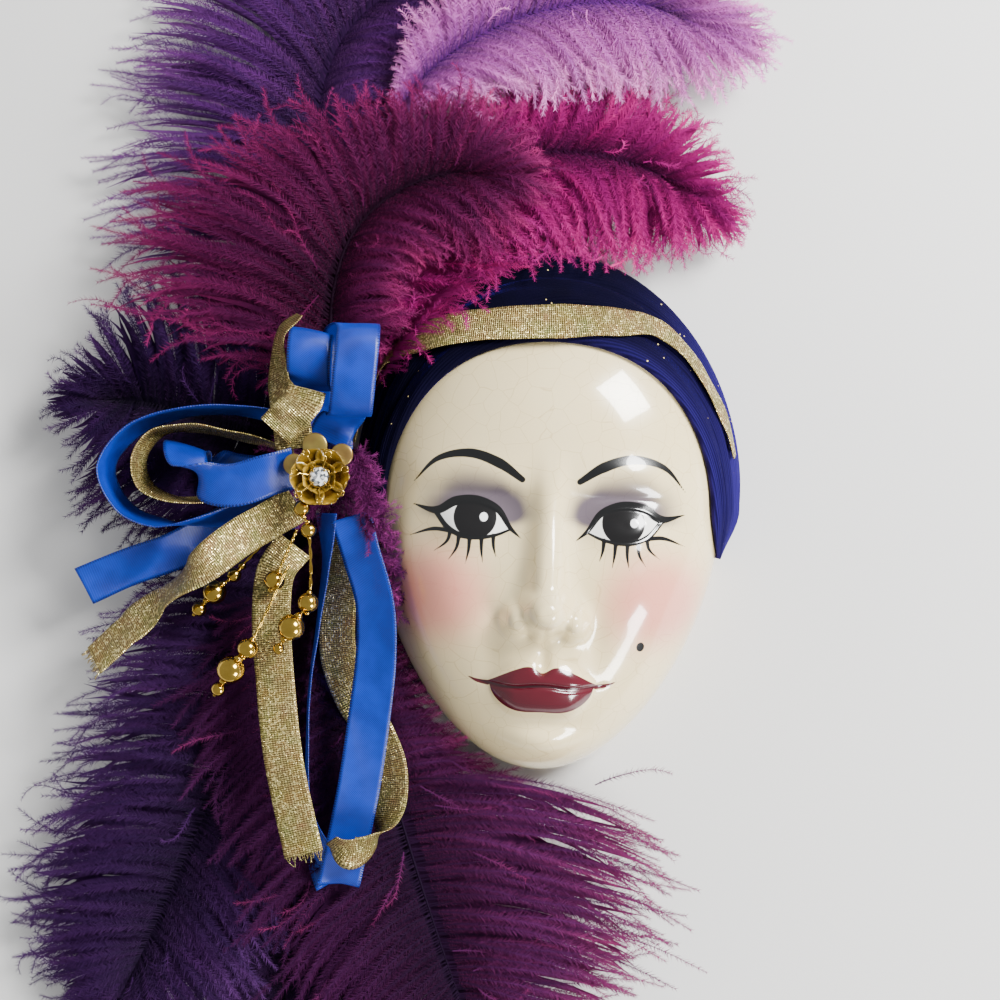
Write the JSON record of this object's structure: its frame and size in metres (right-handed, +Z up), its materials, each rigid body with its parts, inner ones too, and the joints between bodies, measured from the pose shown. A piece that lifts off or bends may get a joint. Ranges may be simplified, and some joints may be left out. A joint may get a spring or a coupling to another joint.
{
  "type": "decorative mask",
  "caption": "Hollow ceramic face mask lying on its back, with a velvet cap, ribbon bow, flower brooch, bead sprays and ostrich plumes at one temple.",
  "frame": {"origin": "on the table, under the middle of the whole object's box", "axes": "+Z up out of the table, the way the face looks; +Y from the chin towards the crown; +X away from the plumes and the bow"},
  "size_m": [0.3046, 0.4968, 0.0716],
  "materials": {
    "ceramic": "glossy ivory glaze with fine crackle, painted under the glaze",
    "velvet": "short-pile velvet, navy with a violet sheen",
    "satin": "satin ribbon, royal blue",
    "gold_mesh": "woven metallic ribbon, pale gold",
    "feather_violet": "dyed ostrich feather, violet",
    "feather_magenta": "dyed ostrich feather, magenta",
    "feather_lilac": "dyed ostrich feather, lilac",
    "feather_plum": "dyed ostrich feather, plum",
    "feather_purple": "dyed ostrich feather, dark purple",
    "marabou": "dyed down, magenta and purple",
    "gold_plate": "bright gold-plated beads on wire",
    "amber": "amber-coloured moulded petals on gilt wire",
    "stone": "clear faceted stone"
  },
  "bodies": {
    "root": {"ceramic_face": "ceramic", "velvet_cap": "velvet", "gold_brow_band": "gold_mesh", "blue_top_front_loop": "satin", "blue_top_side_loop": "satin", "blue_left_front_loop": "satin", "blue_left_back_loop": "satin", "blue_left_tail": "satin", "blue_down_loop": "satin", "gold_top_loop": "gold_mesh", "gold_top_end": "gold_mesh", "gold_left_loop": "gold_mesh", "gold_left_tail": "gold_mesh", "gold_down_tail": "gold_mesh", "gold_down_loop": "gold_mesh", "plume_violet_back": "feather_violet", "plume_magenta_crown": "feather_magenta", "plume_lilac_top": "feather_lilac", "plume_plum_left": "feather_plum", "plume_purple_left": "feather_purple", "plume_purple_inner": "feather_purple", "plume_purple_outer": "feather_purple", "plume_plum_lower": "feather_plum", "marabou_tuft": "marabou", "bead_spray_left": "gold_plate", "bead_spray_middle": "gold_plate", "bead_spray_lower": "gold_plate", "bead_spray_side": "gold_plate", "brooch_flower": "amber", "brooch_stone": "stone"}
  },
  "joints": []
}
